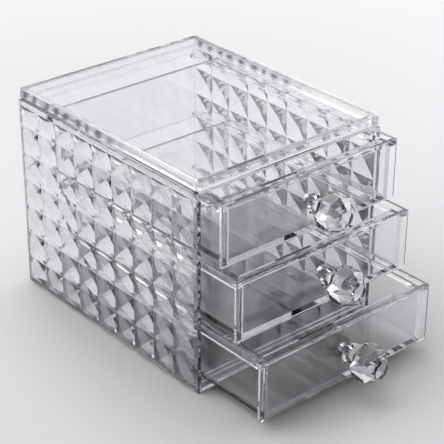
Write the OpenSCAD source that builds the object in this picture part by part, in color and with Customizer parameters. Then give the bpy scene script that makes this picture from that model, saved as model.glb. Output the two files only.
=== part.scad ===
// Clear desk organizer: a glued cabinet of acrylic sheets with pyramid-faceted side walls, and three
// drawers that hang by side flanges on rails. Origin at the middle of the footprint, on the table.
// +X is to the right of someone facing the drawers, -Y is the front, +Z is up. Millimetres.

/* [Cabinet] */
// Width over the side walls, measured in the valleys between pyramids
body_w = 140.6; // [110:1:200]
// Depth from the front edges to the plain back
body_d = 171; // [140:1:240]
// Height from the table to the top of the rim
body_h = 135; // [110:1:190]
// Thickness of the side walls in the valleys
wall_t = 2.7; // [2:0.1:4]
// Thickness of the back wall
back_t = 2.5; // [2:0.1:4]
// Thickness of the base sheet
base_t = 3; // [2:0.1:5]
// Thickness of the top panel
panel_t = 2.2; // [1.6:0.1:4]
// Radius of the corners of the top panel and the rim
corner_r = 3; // [1:0.5:4]

/* [Raised rim on top] */
// Height of the rim above the top panel
rim_h = 5; // [4.5:0.5:10]
// Width of the rim's flat top
rim_w = 5; // [4.5:0.5:9]

/* [Pyramid pattern on the side walls] */
// Side of one square pyramid
cell = 18.5; // [12:0.5:24]
// Height of a pyramid over its valley
pyramid_h = 2.8; // [1:0.1:4]
// Plain margin in front of the first column
front_margin = 3.2; // [2:0.1:6]
// Least plain margin behind the last column
rear_margin = 1; // [0.5:0.1:4]
// Plain margin under the pattern
lower_margin = 3.9; // [2:0.1:8]
// Plain margin between the pattern and the top panel
upper_margin = 3.5; // [2:0.1:8]
// Height of the lowest row, which the lower margin cuts short
first_row_h = 15; // [8:0.5:18]

/* [Drawers] */
// Thickness of the front plates
plate_t = 2.4; // [2:0.1:4]
// Thickness of the tray's four walls
tray_wall_t = 2.6; // [1.8:0.1:3.5]
// Thickness of the tray's floor
floor_t = 2.4; // [1.8:0.1:4]
// Width of the side flanges that a drawer hangs by
flange_w = 4.4; // [3.5:0.1:6]
// Height of the side flanges
flange_h = 4.4; // [3:0.1:6]
// Depth of the bar along the top of the tray's front wall
front_bar_t = 2; // [1:0.1:4]
// How far the top drawer is pulled out
top_open = 17; // [0:0.1:120]
// How far the middle drawer is pulled out
middle_open = 29.6; // [0:0.1:120]
// How far the bottom drawer is pulled out
bottom_open = 50; // [0:0.1:120]

/* [Rails] */
// Height of a rail
rail_h = 2.5; // [2:0.1:4]
// Play between a rail and the side of the tray
rail_play = 1; // [0.6:0.1:1.5]

/* [Clearances] */
// Gap between the end of a front plate and the side wall
side_gap = 0.4; // [0.3:0.1:0.8]
// Gap over a drawer
gap_above = 0.9; // [0.5:0.1:2]
// Gap under a front plate
gap_below = 2.7; // [2:0.1:5]
// Gap between a flange and its rail, and between a shut front plate and the rail ends
slide_gap = 0.3; // [0.3:0.05:0.6]
// Free space behind a shut drawer
rear_gap = 7.5; // [3:0.5:12]
// Step from the bottom of the front plate up to the underside of the tray
tray_step = 0.4; // [0:0.1:1]

/* [Knobs] */
// Diameter of the faceted ball
ball_d = 24.4; // [18:0.1:27]
// Distance from the front plate to the centre of the ball
ball_reach = 16; // [15:0.5:20]
// Flats around the ball and the collar
knob_sides = 8; // [6:2:12]
// Rows of facets between the ball's table and its seat
facet_rows = 3; // [3:1:6]
// Diameter of the collar at its widest, halfway between the ball and the plate
collar_d = 14; // [12:0.5:16]
// Diameter of the collar's two ends
collar_end_d = 11; // [9:0.5:12]
// Diameter of the screw's shank
screw_d = 4; // [3:0.5:4]
// Diameter of the screw's head
screw_head_d = 7.6; // [7:0.2:9]
// Height of the screw's head
screw_head_h = 2.2; // [1.6:0.1:3]
// Depth that the screw reaches into the collar
screw_reach = 4.5; // [3:0.5:5]

/* [Hidden] */
$fn = 48;

// Cuts run this far past the faces that they open
cut_over = 1;

// Colours
clear_acrylic = [0.84, 0.88, 0.92, 0.45];
cut_crystal = [0.92, 0.94, 0.97, 0.6];
steel = [0.72, 0.73, 0.75];

// Cabinet
front_y = -body_d / 2;
back_y = body_d / 2;
inner_w = body_w - 2 * wall_t;
wall_h = body_h - rim_h - panel_t;
back_inner_y = back_y - back_t;

// The pattern's columns fill the depth, and its rows run on from the lowest line between two rows
columns = floor((body_d - front_margin - rear_margin) / cell);
column_start = front_y + front_margin;
column_end = column_start + columns * cell;
row_start = lower_margin;
row_end = wall_h - upper_margin;
row_line = lower_margin + first_row_h;

// Two low ribs across the base, behind its front edge
base_rib_h = 1;
base_rib_w = 1;
base_rib_places = [4, 7.5];

// Drawers: three equal bays one above another, counted from the bottom
bay_h = (wall_h - base_t) / 3;
plate_w = inner_w - 2 * side_gap;
plate_h = bay_h - gap_above - gap_below;
tray_w = plate_w - 2 * flange_w;
tray_len = back_inner_y - front_y - plate_t - rear_gap;
tray_h = plate_h - tray_step;
bottom_bay = 0;
middle_bay = bottom_bay + 1;
top_bay = middle_bay + 1;
function plate_bottom(bay) = base_t + bay * bay_h + gap_below;
function knob_z(bay) = plate_bottom(bay) + plate_h / 2;

// Rails
rail_w = flange_w + side_gap - rail_play;
rail_front_y = front_y + plate_t + slide_gap;
rail_len = back_inner_y - rail_front_y;
function rail_z(bay) = plate_bottom(bay) + plate_h - flange_h - slide_gap - rail_h;

// Knobs: the ball's facet rows meet on a sphere, from the flat table in front to the flat seat behind
table_angle = 25;
seat_angle = 145;
ball_r = ball_d / 2;
row_angle = (seat_angle - table_angle) / facet_rows;
seat_depth = ball_r * cos(180 - seat_angle);
collar_len = ball_reach - seat_depth;
hole_play = 0.4;
thread_play = 0.1;
thread_end_play = 0.5;
hole_d = screw_d + hole_play;
thread_d = screw_d + thread_play;
thread_depth = screw_reach + thread_end_play;
shank_len = tray_wall_t + plate_t + screw_reach;
slot_w = 1;
slot_len = 4.6;
slot_depth = 1.2;

// Height of the pyramid wave at t, where lines between pyramids lie a cell apart from the origin line
function wave(t, origin) =
    let (turn = (t - origin) / cell)
    pyramid_h * (1 - abs(1 - 2 * (turn - floor(turn))));

// Outline of a wall's section: flat inside, and outside with the wave between start and end only, where a
// step under least_step high or less than least_turn of a half wave long is left out
least_step = 0.01;
least_turn = 0.001;
function wave_outline(low, high, start, end, origin) =
    let (
        half = cell / 2,
        first = ceil((start - origin) / half + least_turn),
        last = floor((end - origin) / half - least_turn)
    )
    concat(
        [[low, -wall_t], [low, 0], [start, 0]],
        wave(start, origin) > least_step ? [[start, wave(start, origin)]] : [],
        [for (i = [first:last]) [origin + i * half, wave(origin + i * half, origin)]],
        wave(end, origin) > least_step ? [[end, wave(end, origin)]] : [],
        [[end, 0], [high, 0], [high, -wall_t]]
    );

// Side wall with its valleys at x = 0 and its pyramids towards +X: ridges along Z crossed by ridges along Y
module pyramid_wall() {
    intersection() {
        linear_extrude(height = wall_h)
            mirror([1, -1])
                polygon(wave_outline(front_y, back_y, column_start, column_end, column_start));
        translate([0, back_y, 0])
            rotate([90, 0, 0])
                linear_extrude(height = body_d)
                    mirror([1, -1])
                        polygon(wave_outline(0, wall_h, row_start, row_end, row_line));
    }
}

module left_wall() {
    color(clear_acrylic)
        translate([-body_w / 2, 0, 0])
            mirror([1, 0, 0])
                pyramid_wall();
}

module right_wall() {
    color(clear_acrylic)
        translate([body_w / 2, 0, 0])
            pyramid_wall();
}

module back_wall() {
    color(clear_acrylic)
        translate([-inner_w / 2, back_inner_y, base_t])
            cube([inner_w, back_t, wall_h - base_t]);
}

module base() {
    color(clear_acrylic)
        union() {
            translate([-inner_w / 2, front_y, 0])
                cube([inner_w, body_d, base_t]);
            for (place = base_rib_places)
                translate([-inner_w / 2, front_y + place, base_t])
                    cube([inner_w, base_rib_w, base_rib_h]);
        }
}

// Sheet with round corners, its underside at z = 0
module round_sheet(width, depth, height, radius) {
    translate([-width / 2 + radius, -depth / 2, 0])
        cube([width - 2 * radius, depth, height]);
    translate([-width / 2, -depth / 2 + radius, 0])
        cube([width, depth - 2 * radius, height]);
    for (x = [-1, 1], y = [-1, 1])
        translate([x * (width / 2 - radius), y * (depth / 2 - radius), 0])
            cylinder(r = radius, h = height);
}

module top_panel() {
    color(clear_acrylic)
        translate([0, 0, wall_h])
            round_sheet(body_w, body_d, panel_t, corner_r);
}

module top_rim() {
    color(clear_acrylic)
        translate([0, 0, wall_h + panel_t])
            difference() {
                round_sheet(body_w, body_d, rim_h, corner_r);
                translate([-body_w / 2 + rim_w, front_y + rim_w, -cut_over])
                    cube([body_w - 2 * rim_w, body_d - 2 * rim_w, rim_h + 2 * cut_over]);
            }
}

// Rail on the inside of a side wall, where side is -1 on the left and 1 on the right
module rail(side, bay) {
    color(clear_acrylic)
        translate([side * (inner_w - rail_w) / 2 - rail_w / 2, rail_front_y, rail_z(bay)])
            cube([rail_w, rail_len, rail_h]);
}

// Open-topped tray with flanges along both sides and a bar along the top of its front wall
module tray(bay, open) {
    inside_w = tray_w - 2 * tray_wall_t;
    color(clear_acrylic)
        translate([0, front_y + plate_t - open, plate_bottom(bay) + tray_step])
            difference() {
                union() {
                    translate([-tray_w / 2, 0, 0])
                        cube([tray_w, tray_len, tray_h]);
                    translate([-plate_w / 2, 0, tray_h - flange_h])
                        cube([plate_w, tray_len, flange_h]);
                }
                translate([-inside_w / 2, tray_wall_t, floor_t])
                    cube([inside_w, tray_len - 2 * tray_wall_t, tray_h - floor_t - flange_h]);
                translate([-inside_w / 2, tray_wall_t + front_bar_t, tray_h - flange_h - cut_over])
                    cube([inside_w, tray_len - 2 * tray_wall_t - front_bar_t, flange_h + 2 * cut_over]);
                translate([0, -cut_over, plate_h / 2 - tray_step])
                    rotate([-90, 0, 0])
                        cylinder(d = hole_d, h = tray_wall_t + 2 * cut_over);
            }
}

module front_plate(bay, open) {
    color(clear_acrylic)
        translate([0, front_y - open, plate_bottom(bay)])
            difference() {
                translate([-plate_w / 2, 0, 0])
                    cube([plate_w, plate_t, plate_h]);
                translate([0, -cut_over, plate_h / 2])
                    rotate([-90, 0, 0])
                        cylinder(d = hole_d, h = plate_t + 2 * cut_over);
            }
}

// Faceted ball with a flat table in front and a flat seat behind, glued to its collar
module knob_ball(bay, open) {
    facet_profile = [
        for (i = [0:facet_rows])
            let (angle = table_angle + i * row_angle)
            [ball_r * sin(angle), ball_r * cos(angle)]
    ];
    color(cut_crystal)
        translate([0, front_y - open - ball_reach, knob_z(bay)])
            rotate([90, 0, 0])
                rotate_extrude($fn = knob_sides)
                    polygon(concat([[0, facet_profile[0][1]]], facet_profile, [[0, -seat_depth]]));
}

// Collar that holds the ball off the plate: cut to a ridge halfway along, with a threaded hole from the plate
module knob_collar(bay, open) {
    color(cut_crystal)
        translate([0, front_y - open, knob_z(bay)])
            rotate([90, 0, 0])
                difference() {
                    union() {
                        cylinder(d1 = collar_end_d, d2 = collar_d, h = collar_len / 2, $fn = knob_sides);
                        translate([0, 0, collar_len / 2])
                            cylinder(d1 = collar_d, d2 = collar_end_d, h = collar_len / 2, $fn = knob_sides);
                    }
                    translate([0, 0, -cut_over])
                        cylinder(d = thread_d, h = thread_depth + cut_over);
                }
}

// Cross-slot screw put in from inside the tray, with its head against the tray's front wall
module knob_screw(bay, open) {
    color(steel)
        translate([0, front_y - open + plate_t + tray_wall_t, knob_z(bay)])
            rotate([90, 0, 0])
                difference() {
                    union() {
                        cylinder(d = screw_d, h = shank_len);
                        translate([0, 0, -screw_head_h])
                            cylinder(d = screw_head_d, h = screw_head_h);
                    }
                    for (turn = [0, 90])
                        rotate([0, 0, turn])
                            translate([-slot_len / 2, -slot_w / 2, -screw_head_h - cut_over])
                                cube([slot_len, slot_w, slot_depth + cut_over]);
                }
}

left_wall();
right_wall();
back_wall();
base();
top_panel();
top_rim();
rail(-1, top_bay);  // top_left_rail
rail(1, top_bay);  // top_right_rail
rail(-1, middle_bay);  // middle_left_rail
rail(1, middle_bay);  // middle_right_rail
rail(-1, bottom_bay);  // bottom_left_rail
rail(1, bottom_bay);  // bottom_right_rail
tray(top_bay, top_open);  // top_tray
front_plate(top_bay, top_open);  // top_front_plate
knob_ball(top_bay, top_open);  // top_knob_ball
knob_collar(top_bay, top_open);  // top_knob_collar
knob_screw(top_bay, top_open);  // top_knob_screw
tray(middle_bay, middle_open);  // middle_tray
front_plate(middle_bay, middle_open);  // middle_front_plate
knob_ball(middle_bay, middle_open);  // middle_knob_ball
knob_collar(middle_bay, middle_open);  // middle_knob_collar
knob_screw(middle_bay, middle_open);  // middle_knob_screw
tray(bottom_bay, bottom_open);  // bottom_tray
front_plate(bottom_bay, bottom_open);  // bottom_front_plate
knob_ball(bottom_bay, bottom_open);  // bottom_knob_ball
knob_collar(bottom_bay, bottom_open);  // bottom_knob_collar
knob_screw(bottom_bay, bottom_open);  // bottom_knob_screw
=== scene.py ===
"""Looks of the clear organizer with three drawers.

It sets up the camera and the studio, and gives each acrylic and steel piece its finish and its fine edges.
"""
import math

import bpy
from mathutils import Matrix, Vector

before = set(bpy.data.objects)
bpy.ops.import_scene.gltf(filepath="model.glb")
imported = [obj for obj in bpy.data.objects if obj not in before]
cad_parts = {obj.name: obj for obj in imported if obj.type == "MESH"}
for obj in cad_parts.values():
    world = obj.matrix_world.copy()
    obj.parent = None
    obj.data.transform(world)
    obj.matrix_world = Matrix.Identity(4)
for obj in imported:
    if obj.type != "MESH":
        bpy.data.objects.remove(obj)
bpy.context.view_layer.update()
scene = bpy.context.scene

# Camera, placed where the photograph was taken from (metres and degrees, in the frame of the part)
IMAGE_SIDE = 444
CAMERA_PLACE = Vector((-0.51847, -0.62637, 0.48776))
CAMERA_YAW = 40.744
CAMERA_PITCH = 28.124
CAMERA_ROLL = 0.312
FOCAL_LENGTH_PX = 1475.4
SENSOR_MM = 36.0
SEEN_FROM = 0.01
SEEN_TO = 20


def make_camera():
    yaw, pitch, roll = (math.radians(a) for a in (CAMERA_YAW, CAMERA_PITCH, CAMERA_ROLL))
    forward = Vector((math.sin(yaw) * math.cos(pitch), math.cos(yaw) * math.cos(pitch), -math.sin(pitch)))
    level_right = Vector((math.cos(yaw), -math.sin(yaw), 0))
    level_up = level_right.cross(forward)
    right = level_right * math.cos(roll) + level_up * math.sin(roll)
    up = level_up * math.cos(roll) - level_right * math.sin(roll)
    data = bpy.data.cameras.new("photo_camera")
    data.sensor_width = SENSOR_MM
    data.lens = FOCAL_LENGTH_PX * SENSOR_MM / IMAGE_SIDE
    data.clip_start = SEEN_FROM
    data.clip_end = SEEN_TO
    camera = bpy.data.objects.new("photo_camera", data)
    turn = Matrix((right, up, -forward)).transposed().to_4x4()
    camera.matrix_world = Matrix.Translation(CAMERA_PLACE) @ turn
    scene.collection.objects.link(camera)
    scene.camera = camera


make_camera()


class Nodes:
    """The nodes of a new material or world, with short ways to add and join them."""

    def __init__(self, owner):
        owner.use_nodes = True
        self.owner = owner
        self.tree = owner.node_tree
        self.tree.nodes.clear()

    def add(self, kind, **settings):
        node = self.tree.nodes.new("ShaderNode" + kind)
        for name, value in settings.items():
            setattr(node, name, value)
        return node

    def join(self, source, target):
        self.tree.links.new(source, target)

    def put(self, value, target):
        if isinstance(value, (int, float)):
            target.default_value = value
        else:
            self.join(value, target)

    def noise(self, scale, detail, stretch=(1, 1, 1)):
        place = self.add("TexCoord")
        mapping = self.add("Mapping")
        mapping.inputs["Scale"].default_value = stretch
        texture = self.add("TexNoise")
        texture.inputs["Scale"].default_value = scale
        texture.inputs["Detail"].default_value = detail
        self.join(place.outputs["Object"], mapping.inputs["Vector"])
        self.join(mapping.outputs["Vector"], texture.inputs["Vector"])
        return texture.outputs["Fac"]

    def axes(self, kind):
        """The three parts of a piece's own place or normal."""
        split = self.add("SeparateXYZ")
        self.join(self.add("TexCoord").outputs[kind], split.inputs["Vector"])
        return split.outputs

    def math(self, operation, first, second=0.0):
        node = self.add("Math", operation=operation)
        self.put(first, node.inputs[0])
        self.put(second, node.inputs[1])
        return node.outputs["Value"]

    def largest(self, *values):
        result = values[0]
        for value in values[1:]:
            result = self.math("MAXIMUM", result, value)
        return result

    def blend(self, factor, first, second):
        node = self.add("Mix")
        self.join(factor, node.inputs["Factor"])
        self.put(first, node.inputs["A"])
        self.put(second, node.inputs["B"])
        return node.outputs["Result"]

    def ramp(self, source, low, high, at_low, at_high, kind="LINEAR"):
        spread = self.add("MapRange", interpolation_type=kind)
        spread.inputs["From Min"].default_value = low
        spread.inputs["From Max"].default_value = high
        spread.inputs["To Min"].default_value = at_low
        spread.inputs["To Max"].default_value = at_high
        self.join(source, spread.inputs["Value"])
        return spread.outputs["Result"]

    def bump(self, height, distance, strength):
        node = self.add("Bump")
        node.inputs["Distance"].default_value = distance
        self.put(strength, node.inputs["Strength"])
        self.join(height, node.inputs["Height"])
        return node.outputs["Normal"]

    def paint(self, color, **settings):
        """A Principled shader, whose settings are named with _ for each space."""
        node = self.add("BsdfPrincipled")
        node.inputs["Base Color"].default_value = (*color, 1)
        for name, value in settings.items():
            self.put(value, node.inputs[name.replace("_", " ")])
        return node

    def light(self, kind, color, strength):
        """An Emission for a material, or a Background for a world."""
        node = self.add(kind)
        node.inputs["Color"].default_value = (*color, 1)
        self.put(strength, node.inputs["Strength"])
        return node.outputs[kind]

    def either(self, factor, first, second):
        node = self.add("MixShader")
        self.join(factor, node.inputs["Fac"])
        self.join(first, node.inputs[1])
        self.join(second, node.inputs[2])
        return node.outputs["Shader"]

    def finish(self, surface, kind="OutputMaterial"):
        out = self.add(kind)
        self.join(surface, out.inputs["Surface"])
        return out


# Clear acrylic: a hint of blue, a grey tint in the thickness, and the smears and ripples of its surface
CLEAR = (0.99, 0.99, 1)
TINT = (0.62, 0.64, 0.67)
ACRYLIC_IOR = 1.49
SMEAR_NOISE = (60, 4, (1, 1, 3))
SMEAR_RANGE = (0.45, 0.8)
RIPPLE_NOISE = (35, 2)
RIPPLE_HEIGHT = 0.0004

# Faces whose normal leans further than this from the thin axis of a sheet are its cut edges
CUT_FROM = 0.5
# Faces whose normal lies this far from every axis are the polished arrises
ARRIS_FROM = 0.93
ARRIS_SMEAR = 0.3

# Painted shade: dark bands on the outside of the rim, standing in for dark reflections. Their step along the
# depth, their slant with the height, how far they wander, the shade's least share, how far from the middle
# they begin, where they fade out, and the colour of the painted shade
BAND_STEP = 0.0106
BAND_SLANT = 0.35
BAND_NOISE = (70, 2)
BAND_WANDER = 0.012
BAND_WAVE = (-0.9, 0.9)
BAND_BASE = 0.45
BAND_FROM_X = 0.069
BAND_EDGE = 0.001
BAND_FADE_Y = (-0.035, -0.005)
BAND_SHADE_COLOR = (0.035, 0.04, 0.052)

# Smear and ripple of each kind of surface
SHEET_FACE = (0.05, 0.03)
SHEET_EDGE = (0.12, 0.2)
RIM_EDGE = (0.12, 0.3)
FACETED_FACE = (0.04, 0.05)
CRYSTAL_FACE = (0.02, 0.0)

# How light passes each kind of piece: the tint's density, the share of a lamp's light that gets through a
# surface, the bounces after which trapped light is let out, and the share that it keeps at each surface
SHEET_LIGHT = {"density": 8, "shadow": 0.7, "trap": 26, "leak": 1.0}
FACETED_LIGHT = {"density": 44, "shadow": 0.4, "trap": 10, "leak": 0.1}
CRYSTAL_LIGHT = {"density": 3, "shadow": 0.8, "trap": 5, "leak": 0.05}

# Nickel-bright steel, with turned lines
STEEL_COLOR = (0.72, 0.73, 0.75)
STEEL_NOISE = (900, 3)
STEEL_NOISE_RANGE = (0.3, 0.7)
STEEL_ROUGHNESS = (0.18, 0.36)
TURNED_NOISE = (2500, 2, (1, 6, 1))
TURNED_HEIGHT = 0.00005
TURNED_DEPTH = 0.4


def painted_rim_shade(shader):
    """Painted shade: grey-blue bands on the rim's outside, left and right, which fade towards the front."""
    place = shader.axes("Object")
    slanted = shader.math("ADD", place["Y"], shader.math("MULTIPLY", place["Z"], BAND_SLANT))
    wander = shader.math("MULTIPLY", shader.noise(*BAND_NOISE), BAND_WANDER)
    turn = shader.math("MULTIPLY", shader.math("ADD", slanted, wander), 2 * math.pi / BAND_STEP)
    shade_wave = shader.ramp(shader.math("SINE", turn), *BAND_WAVE, BAND_BASE, 1.0)
    from_middle = shader.math("ABSOLUTE", place["X"])
    outside = shader.ramp(from_middle, BAND_FROM_X, BAND_FROM_X + BAND_EDGE, 0.0, 1.0)
    fade = shader.ramp(place["Y"], *BAND_FADE_Y, 0.0, 1.0)
    color = shader.add("Mix", data_type="RGBA")
    color.inputs["A"].default_value = (*CLEAR, 1)
    color.inputs["B"].default_value = (*BAND_SHADE_COLOR, 1)
    shade_share = shader.math("MULTIPLY", shader.math("MULTIPLY", shade_wave, outside), fade)
    shader.join(shade_share, color.inputs["Factor"])
    return color.outputs["Result"]


def acrylic(name, face, edge, light, thin_axis=None, painted_shade_bands=False):
    """Clear acrylic, whose tint gathers along the edges, where the way through it is long.

    Its faces and its cut edges each have a smear and a ripple. Light that has bounced more often than the
    trap is let straight out, as haze in real acrylic lets it out.
    """
    shader = Nodes(bpy.data.materials.new(name))
    smears = shader.noise(*SMEAR_NOISE)
    roughness = shader.ramp(smears, *SMEAR_RANGE, 0.0, face[0])
    ripple = face[1]
    if thin_axis:
        normal = shader.axes("Normal")
        square_on = {axis: shader.math("ABSOLUTE", normal[axis]) for axis in "XYZ"}
        cut = shader.math("LESS_THAN", square_on[thin_axis], CUT_FROM)
        roughness = shader.blend(cut, roughness, shader.ramp(smears, *SMEAR_RANGE, 0.0, edge[0]))
        if thin_axis != "X":
            arris = shader.math("LESS_THAN", shader.largest(*square_on.values()), ARRIS_FROM)
            roughness = shader.blend(arris, roughness, ARRIS_SMEAR)
        ripple = shader.blend(cut, face[1], edge[1])
    waves = shader.bump(shader.noise(*RIPPLE_NOISE), RIPPLE_HEIGHT, ripple)
    glass = shader.paint(CLEAR, Transmission_Weight=1, IOR=ACRYLIC_IOR, Roughness=roughness, Normal=waves)
    # The rim's base colour carries painted shade in bands
    if painted_shade_bands:
        shader.join(painted_rim_shade(shader), glass.inputs["Base Color"])
    path = shader.add("LightPath").outputs
    through = shader.add("BsdfTransparent")
    passed = shader.ramp(path["Is Shadow Ray"], 0.0, 1.0, light["leak"], light["shadow"])
    shader.join(passed, through.inputs["Color"])
    trapped = shader.math("GREATER_THAN", path["Ray Depth"], light["trap"])
    let_out = shader.largest(path["Is Shadow Ray"], trapped)
    out = shader.finish(shader.either(let_out, glass.outputs["BSDF"], through.outputs["BSDF"]))
    absorb = shader.add("VolumeAbsorption")
    absorb.inputs["Color"].default_value = (*TINT, 1)
    absorb.inputs["Density"].default_value = light["density"]
    shader.join(absorb.outputs["Volume"], out.inputs["Volume"])
    return shader.owner


def bright_steel():
    shader = Nodes(bpy.data.materials.new("bright_steel"))
    roughness = shader.ramp(shader.noise(*STEEL_NOISE), *STEEL_NOISE_RANGE, *STEEL_ROUGHNESS)
    lines = shader.bump(shader.noise(*TURNED_NOISE), TURNED_HEIGHT, TURNED_DEPTH)
    metal = shader.paint(STEEL_COLOR, Metallic=1, Roughness=roughness, Normal=lines)
    shader.finish(metal.outputs["BSDF"])
    return shader.owner


SHEETS = {
    axis: acrylic("clear_acrylic_" + axis.lower(), SHEET_FACE, SHEET_EDGE, SHEET_LIGHT, axis) for axis in "YZ"
}
BLOCK = acrylic("clear_acrylic", SHEET_FACE, SHEET_FACE, SHEET_LIGHT)
FACETED_SHEET = acrylic("faceted_acrylic", FACETED_FACE, SHEET_EDGE, FACETED_LIGHT, "X")
# The rim gets painted shade in bands on its outside
RIM = acrylic("rim_acrylic", SHEET_FACE, RIM_EDGE, SHEET_LIGHT, "Z", painted_shade_bands=True)
CRYSTAL = acrylic("cut_acrylic", CRYSTAL_FACE, CRYSTAL_FACE, CRYSTAL_LIGHT)
STEEL = bright_steel()

# Edges: sheets have a polished arris, and no two sheets touch so closely that light would see one piece
SHEET_ARRIS = 0.0004
MOULDED_ARRIS = 0.0002
KNOB_ARRIS = 0.0001
SHEET_ARRIS_ANGLE = 30
MOULDED_ARRIS_ANGLE = 12
KNOB_ARRIS_ANGLE = 15
AIR_FILM = 0.00002
WELD_GAP = 0.000001
FLAT_ANGLE = 0.3


def dress(node, material, arris=0, from_angle=SHEET_ARRIS_ANGLE):
    """Gives a part its material and, with modifiers, its arrises and the film of air round it."""
    node.data.materials.clear()
    node.data.materials.append(material)
    weld = node.modifiers.new("weld", "WELD")
    weld.merge_threshold = WELD_GAP
    flatten = node.modifiers.new("flatten", "DECIMATE")
    flatten.decimate_type = "DISSOLVE"
    flatten.angle_limit = math.radians(FLAT_ANGLE)
    if arris:
        bevel = node.modifiers.new("arris", "BEVEL")
        bevel.width = arris
        bevel.segments = 1
        bevel.limit_method = "ANGLE"
        bevel.angle_limit = math.radians(from_angle)
    film = node.modifiers.new("air_film", "DISPLACE")
    film.strength = -AIR_FILM
    film.mid_level = 0


for name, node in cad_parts.items():
    if name.endswith("screw"):
        dress(node, STEEL)
    elif "knob" in name:
        dress(node, CRYSTAL, KNOB_ARRIS, KNOB_ARRIS_ANGLE)
    elif name in ("left_wall", "right_wall"):
        dress(node, FACETED_SHEET, MOULDED_ARRIS, MOULDED_ARRIS_ANGLE)
    elif name == "back_wall" or name.endswith("front_plate"):
        dress(node, SHEETS["Y"], SHEET_ARRIS)
    elif name in ("base", "top_panel"):
        dress(node, SHEETS["Z"], SHEET_ARRIS)
    elif name == "top_rim":
        dress(node, RIM, SHEET_ARRIS)
    else:
        dress(node, BLOCK, SHEET_ARRIS)

# Studio: soft light from the whole room, a pale floor, and a backdrop seen behind and through the part
STUDIO_WHITE = (0.98, 0.99, 1.0)
SKY_LIGHT = 0.3
BACKDROP_LEVEL = 0.96
CEILING_LEVEL = 0.95
CEILING_RISE = (0.12, 0.3)
# The side of the room that is dim in what glass and metal mirror, which stays where it is in every view
DIM_SIDE = (-0.52, -0.63, 0.58)
DIM_RANGE = (0.0, 0.4)
DIM_LEVEL = 0.03
FLOOR_COLOR = (0.75, 0.75, 0.76)
FLOOR_ROUGHNESS = 0.55
FLOOR_SHEEN = 0.2
FLOOR_RUNS_OUT = (0.22, 0.65)
FLOOR_HALF = 4.0
FLOOR_DROP = 0.0001


def dim_side(nodes, way, at_bright):
    """What the room's brightness falls to, from at_bright, in directions that near the dim side."""
    toward = nodes.add("VectorMath", operation="DOT_PRODUCT")
    toward.inputs[1].default_value = DIM_SIDE
    nodes.join(way, toward.inputs[0])
    return nodes.ramp(toward.outputs["Value"], *DIM_RANGE, at_bright, DIM_LEVEL, "SMOOTHSTEP")


def pale_floor():
    """Pale paint that keeps the shadows, and away from the part runs out into the backdrop's own level."""
    shader = Nodes(bpy.data.materials.new("pale_floor"))
    paint = shader.paint(FLOOR_COLOR, Roughness=FLOOR_ROUGHNESS, Specular_IOR_Level=FLOOR_SHEEN)
    place = shader.add("TexCoord").outputs["Object"]
    distance = shader.add("VectorMath", operation="LENGTH")
    shader.join(place, distance.inputs[0])
    way = shader.add("VectorMath", operation="NORMALIZE")
    shader.join(place, way.inputs[0])
    path = shader.add("LightPath").outputs
    in_glass = dim_side(shader, way.outputs["Vector"], BACKDROP_LEVEL)
    level = shader.blend(path["Is Camera Ray"], in_glass, BACKDROP_LEVEL)
    backdrop = shader.light("Emission", STUDIO_WHITE, level)
    seen = shader.largest(path["Is Camera Ray"], path["Is Glossy Ray"], path["Is Transmission Ray"])
    runs_out = shader.ramp(distance.outputs["Value"], *FLOOR_RUNS_OUT, 0.0, 1.0, "SMOOTHSTEP")
    shader.finish(shader.either(shader.math("MULTIPLY", seen, runs_out), paint.outputs["BSDF"], backdrop))
    return shader.owner


def make_floor():
    around = ((-1, -1), (1, -1), (1, 1), (-1, 1))
    mesh = bpy.data.meshes.new("floor")
    mesh.from_pydata([(x * FLOOR_HALF, y * FLOOR_HALF, -FLOOR_DROP) for x, y in around], [], [(0, 1, 2, 3)])
    mesh.materials.append(pale_floor())
    floor = bpy.data.objects.new("floor", mesh)
    scene.collection.objects.link(floor)


def make_world():
    """Soft even light. Glass and metal mirror a pale backdrop and ceiling, and the dim side of the room."""
    world = Nodes(bpy.data.worlds.new("studio"))
    scene.world = world.owner
    way = world.add("TexCoord").outputs["Generated"]
    height = world.add("SeparateXYZ")
    world.join(way, height.inputs["Vector"])
    pale = world.ramp(height.outputs["Z"], *CEILING_RISE, BACKDROP_LEVEL, CEILING_LEVEL, "SMOOTHSTEP")
    path = world.add("LightPath").outputs
    glassy = world.largest(path["Is Glossy Ray"], path["Is Transmission Ray"])
    lit_nothing = world.math("LESS_THAN", path["Diffuse Depth"], 0.5)
    light = world.light("Background", STUDIO_WHITE, SKY_LIGHT)
    room = world.math("MULTIPLY", pale, dim_side(world, way, 1.0))
    mirrored = world.light("Background", STUDIO_WHITE, room)
    backdrop = world.light("Background", STUDIO_WHITE, BACKDROP_LEVEL)
    lit = world.either(world.math("MULTIPLY", glassy, lit_nothing), light, mirrored)
    world.finish(world.either(path["Is Camera Ray"], lit, backdrop), "OutputWorld")


# Lamps: place, width and length in metres, and watts. All point at the middle of the part.
OBJECT_MIDDLE = (0, -0.03, 0.07)
LAMPS = {
    "overhead": ((-0.1, 0.25, 0.9), (1.0, 0.8), 7.5),
    "right": ((0.85, -0.05, 0.4), (0.5, 0.5), 2.8),
    "left": ((-0.8, 0.45, 0.6), (0.8, 0.6), 1.5),
}


def area_lamp(name, place, size, power):
    data = bpy.data.lights.new(name, "AREA")
    data.shape = "RECTANGLE"
    data.size, data.size_y = size
    data.energy = power
    lamp = bpy.data.objects.new(name, data)
    lamp.location = place
    lamp.rotation_mode = "QUATERNION"
    lamp.rotation_quaternion = (Vector(OBJECT_MIDDLE) - Vector(place)).to_track_quat("-Z", "Y")
    scene.collection.objects.link(lamp)


make_floor()
make_world()
for name, lamp in LAMPS.items():
    area_lamp(name, *lamp)

scene.view_settings.view_transform = "Standard"

# Light needs many bounces to leave the clear pieces
BOUNCES = 40
scene.cycles.max_bounces = BOUNCES
scene.cycles.transmission_bounces = BOUNCES
scene.cycles.transparent_max_bounces = BOUNCES
scene.cycles.glossy_bounces = BOUNCES
scene.cycles.caustics_reflective = False
scene.cycles.caustics_refractive = False
